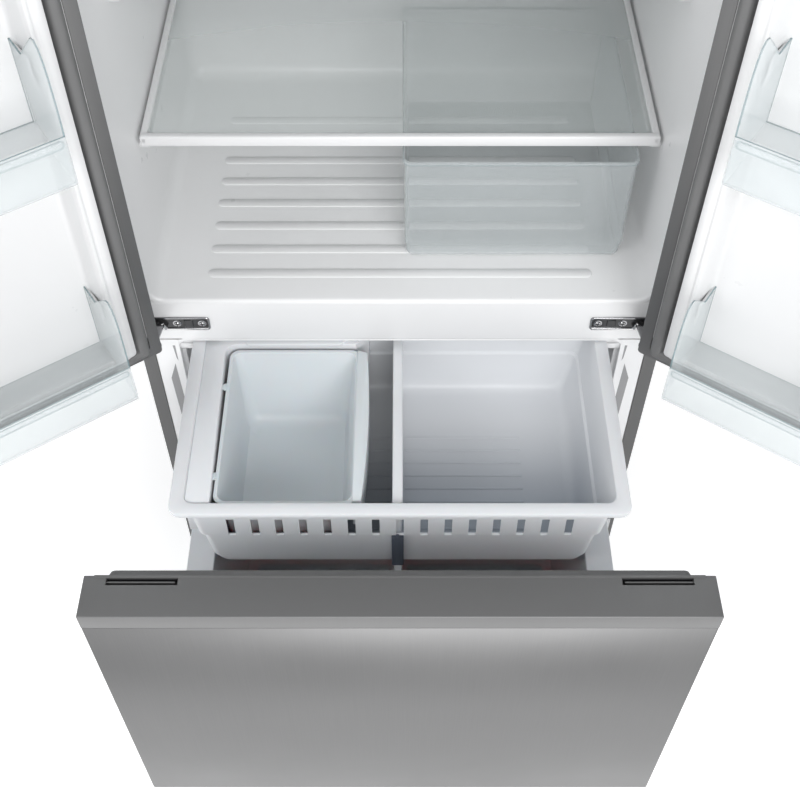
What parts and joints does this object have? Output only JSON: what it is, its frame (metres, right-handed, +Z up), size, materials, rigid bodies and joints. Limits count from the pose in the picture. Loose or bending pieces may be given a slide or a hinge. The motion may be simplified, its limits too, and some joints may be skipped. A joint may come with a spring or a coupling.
{
  "type": "french door refrigerator",
  "caption": "Free-standing refrigerator with side-hinged twin doors over a pull-out freezer drawer, shown with the doors and the drawer open.",
  "frame": {"origin": "middle of the footprint's bounding box, on the floor, with the doors and the drawer open as at rest", "axes": "+Z up, +X to the right as seen from the front, +Y from the front to the back; the doors and the drawer open towards -Y"},
  "size_m": [1.4762, 1.171, 1.742],
  "materials": {
    "dark_grey_steel": "satin paint",
    "dark_grey_plastic": "satin moulded plastic",
    "white_liner": "smooth white moulded plastic",
    "clear_plastic": "clear moulded plastic",
    "clear_glass": "clear tempered glass",
    "frosted_plastic": "translucent white plastic",
    "galvanised_steel": "galvanised",
    "chrome": "bright plated steel",
    "aluminium": "bare fins",
    "black_plastic": "black moulded plastic",
    "black_steel": "black enamel",
    "grey_gasket": "soft magnetic seal",
    "foam": "rigid foam"
  },
  "bodies": {
    "cabinet": {"cabinet_shell": "dark_grey_steel", "foam_insulation": "foam", "back_panel": "galvanised_steel", "base_pan": "galvanised_steel", "base_grille": "dark_grey_plastic", "fresh_food_liner": "white_liner", "freezer_liner": "white_liner", "mullion_rail": "white_liner", "machine_cover": "galvanised_steel", "cord_gland": "black_plastic", "compressor": "black_steel", "condenser": "aluminium", "drain_pan": "black_plastic", "evaporator": "aluminium", "evaporator_cover": "white_liner", "air_duct_panel": "white_liner", "control_panel": "white_liner", "crisper_cover_shelf": "clear_glass", "glass_shelf_middle": "clear_glass", "glass_shelf_upper": "clear_glass", "left_top_hinge": "chrome", "left_hinge_cover": "dark_grey_plastic", "left_centre_hinge": "chrome", "left_rail_outer": "galvanised_steel", "right_top_hinge": "chrome", "right_hinge_cover": "dark_grey_plastic", "right_centre_hinge": "chrome", "right_rail_outer": "galvanised_steel"},
    "left_door": {"left_door_skin": "dark_grey_steel", "left_door_liner": "white_liner", "left_door_gasket": "grey_gasket", "left_door_bin_lower": "clear_plastic", "left_door_bin_middle": "clear_plastic", "left_door_bin_upper": "clear_plastic"},
    "right_door": {"right_door_skin": "dark_grey_steel", "right_door_liner": "white_liner", "right_door_gasket": "grey_gasket", "right_door_bin_lower": "clear_plastic", "right_door_bin_middle": "clear_plastic", "right_door_bin_upper": "clear_plastic"},
    "flipper": {"flipper_mullion": "dark_grey_plastic"},
    "freezer_drawer": {"drawer_front_skin": "dark_grey_steel", "drawer_top_trim": "dark_grey_plastic", "drawer_inner_panel": "white_liner", "drawer_gasket": "grey_gasket", "lower_basket": "white_liner", "left_drawer_bracket": "galvanised_steel", "right_drawer_bracket": "galvanised_steel"},
    "rail_middles": {"left_rail_middle": "galvanised_steel", "right_rail_middle": "galvanised_steel"},
    "upper_basket_unit": {"upper_basket": "white_liner", "basket_divider": "white_liner"},
    "ice_tray_unit": {"ice_tray": "frosted_plastic"},
    "crisper": {"crisper_drawer": "clear_plastic"},
    "evaporator_fan_unit": {"evaporator_fan": "black_plastic"},
    "condenser_fan_unit": {"condenser_fan": "black_plastic"},
    "left_leg": {"left_levelling_leg": "galvanised_steel"},
    "right_leg": {"right_levelling_leg": "galvanised_steel"},
    "left_roller": {"left_rear_roller": "black_plastic"},
    "right_roller": {"right_rear_roller": "black_plastic"}
  },
  "joints": [
    {"name": "left_door_hinge", "type": "hinge", "parent": "cabinet", "child": "left_door", "pos_m": [-0.3965, -0.1225, 0.703], "axis": [0, 0, -1], "range_deg": [-145.3, 4.7]},
    {"name": "right_door_hinge", "type": "hinge", "parent": "cabinet", "child": "right_door", "pos_m": [0.3965, -0.1225, 0.703], "axis": [0, 0, 1], "range_deg": [-145.3, 4.7]},
    {"name": "flipper_hinge", "type": "hinge", "parent": "left_door", "child": "flipper", "pos_m": [-0.64905, -0.38312, 0.775], "axis": [0, 0, 1], "range_deg": [-90, 0]},
    {"name": "drawer_slide", "type": "slide", "parent": "cabinet", "child": "freezer_drawer", "axis": [0, -1, 0], "range_m": [-0.432, 0.015]},
    {"name": "rail_middle_slide", "type": "slide", "parent": "cabinet", "child": "rail_middles", "axis": [0, -1, 0], "range_m": [-0.216, 0.0075]},
    {"name": "upper_basket_slide", "type": "slide", "parent": "freezer_drawer", "child": "upper_basket_unit", "axis": [0, -1, 0], "range_m": [0, 0.09]},
    {"name": "ice_tray_lift", "type": "slide", "parent": "upper_basket_unit", "child": "ice_tray_unit", "axis": [0, 0, 1], "range_m": [0, 0.15]},
    {"name": "crisper_slide", "type": "slide", "parent": "cabinet", "child": "crisper", "axis": [0, -1, 0], "range_m": [0, 0.25]},
    {"name": "evaporator_fan_spin", "type": "hinge", "parent": "cabinet", "child": "evaporator_fan_unit", "pos_m": [0, 0.4725, 0.585], "axis": [0, 1, 0], "continuous": true},
    {"name": "condenser_fan_spin", "type": "hinge", "parent": "cabinet", "child": "condenser_fan_unit", "pos_m": [0.03, 0.4625, 0.15], "axis": [1, 0, 0], "continuous": true},
    {"name": "left_leg_screw", "type": "hinge", "parent": "cabinet", "child": "left_leg", "pos_m": [-0.375, -0.0125, 0], "axis": [0, 0, 1], "continuous": true},
    {"name": "right_leg_screw", "type": "hinge", "parent": "cabinet", "child": "right_leg", "pos_m": [0.375, -0.0125, 0], "axis": [0, 0, 1], "continuous": true},
    {"name": "left_roller_spin", "type": "hinge", "parent": "cabinet", "child": "left_roller", "pos_m": [-0.37, 0.5175, 0.02], "axis": [1, 0, 0], "continuous": true},
    {"name": "right_roller_spin", "type": "hinge", "parent": "cabinet", "child": "right_roller", "pos_m": [0.37, 0.5175, 0.02], "axis": [1, 0, 0], "continuous": true}
  ],
  "couplings": [
    {"joint": "rail_middle_slide", "follows": "drawer_slide", "ratio": 0.5}
  ]
}
